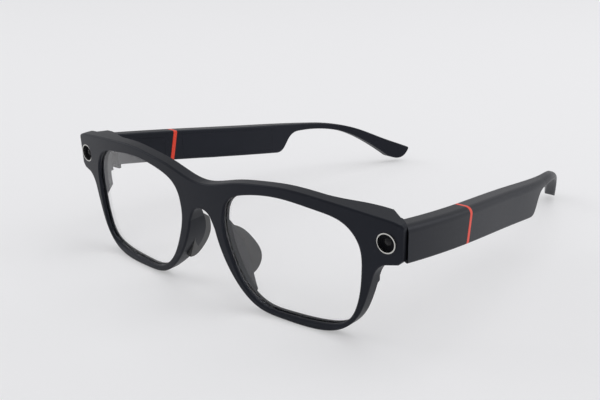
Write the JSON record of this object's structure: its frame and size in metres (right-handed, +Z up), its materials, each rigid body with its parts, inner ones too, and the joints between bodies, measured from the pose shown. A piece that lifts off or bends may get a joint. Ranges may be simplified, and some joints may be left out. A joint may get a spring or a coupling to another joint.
{
  "type": "smart glasses",
  "caption": "Matte black smart glasses with a clear lens front, a camera in each endpiece, folding hinge blocks, orange seals and plug-in temples with curved ear hooks.",
  "frame": {"origin": "bottom centre of the whole box, on the surface that the open glasses stand on", "axes": "+Z up; the lenses face -Y; the temples run to +Y; +X is the wearer's left"},
  "size_m": [0.1458, 0.1606, 0.0443],
  "materials": {
    "frame_black": "fine moulded matte",
    "temple_black": "satin moulded",
    "lens_clear": "clear, coated",
    "pad_black": "soft matte silicone",
    "ring_metal": "turned and polished",
    "camera_glass": "dark cover glass",
    "camera_black": "black anodised look",
    "cable_amber": "polyimide ribbon",
    "hinge_steel": "satin",
    "module_metal": "stamped can",
    "cable_dark": "moulded connector body",
    "connector_metal": "drawn tube",
    "seal_orange": "satin silicone",
    "grille_dark": "black coated mesh",
    "battery_wrap": "foil pouch",
    "board_green": "solder mask",
    "tip_black": "soft-touch"
  },
  "bodies": {
    "front": {"front_frame": "frame_black", "brow_cable": "cable_amber", "brow_cover_left": "frame_black", "brow_cover_right": "frame_black", "lens_left": "lens_clear", "lens_right": "lens_clear", "nose_pad_left": "pad_black", "nose_pad_right": "pad_black", "camera_ring_left": "ring_metal", "camera_ring_right": "ring_metal", "camera_window_left": "camera_glass", "camera_window_right": "camera_glass", "camera_module_left": "camera_black", "camera_module_right": "camera_black", "hinge_front_leaf_left": "hinge_steel", "hinge_front_leaf_right": "hinge_steel", "hinge_screws_left": "hinge_steel", "hinge_screws_right": "hinge_steel", "hinge_pin_left": "hinge_steel", "hinge_pin_right": "hinge_steel"},
    "hinge_block_left": {"hinge_temple_leaf_left": "hinge_steel", "hinge_block_left": "frame_black", "block_cover_left": "frame_black", "microphone_left": "module_metal", "socket_left": "cable_dark"},
    "temple_left": {"plug_left": "connector_metal", "seal_ring_left": "seal_orange", "temple_shell_left": "temple_black", "temple_cover_left": "temple_black", "speaker_grille_left": "grille_dark", "speaker_left": "module_metal", "battery_left": "battery_wrap", "circuit_board_left": "board_green", "tip_sleeve_left": "tip_black", "core_wire_left": "hinge_steel"},
    "hinge_block_right": {"hinge_temple_leaf_right": "hinge_steel", "hinge_block_right": "frame_black", "block_cover_right": "frame_black", "microphone_right": "module_metal", "socket_right": "cable_dark"},
    "temple_right": {"plug_right": "connector_metal", "seal_ring_right": "seal_orange", "temple_shell_right": "temple_black", "temple_cover_right": "temple_black", "speaker_grille_right": "grille_dark", "speaker_right": "module_metal", "battery_right": "battery_wrap", "circuit_board_right": "board_green", "tip_sleeve_right": "tip_black", "core_wire_right": "hinge_steel", "button_switch": "module_metal"},
    "power_button": {"power_button": "frame_black"}
  },
  "joints": [
    {"name": "left_temple_fold", "type": "hinge", "parent": "front", "child": "hinge_block_left", "pos_m": [0.0632, -0.06167, 0.03228], "axis": [0, 0, 1], "range_deg": [0, 80]},
    {"name": "left_temple_unplug", "type": "slide", "parent": "hinge_block_left", "child": "temple_left", "axis": [-0.0799, 0.9853, -0.1508], "range_m": [0, 0.012]},
    {"name": "right_temple_fold", "type": "hinge", "parent": "front", "child": "hinge_block_right", "pos_m": [-0.0632, -0.06167, 0.03228], "axis": [0, 0, -1], "range_deg": [0, 64]},
    {"name": "right_temple_unplug", "type": "slide", "parent": "hinge_block_right", "child": "temple_right", "axis": [0.0799, 0.9853, -0.1508], "range_m": [0, 0.012]},
    {"name": "power_button_press", "type": "slide", "parent": "temple_right", "child": "power_button", "axis": [0, 0.1513, 0.9885], "range_m": [0, 0.0005], "stiffness_N_per_m": 400, "springref_m": -0.001}
  ]
}
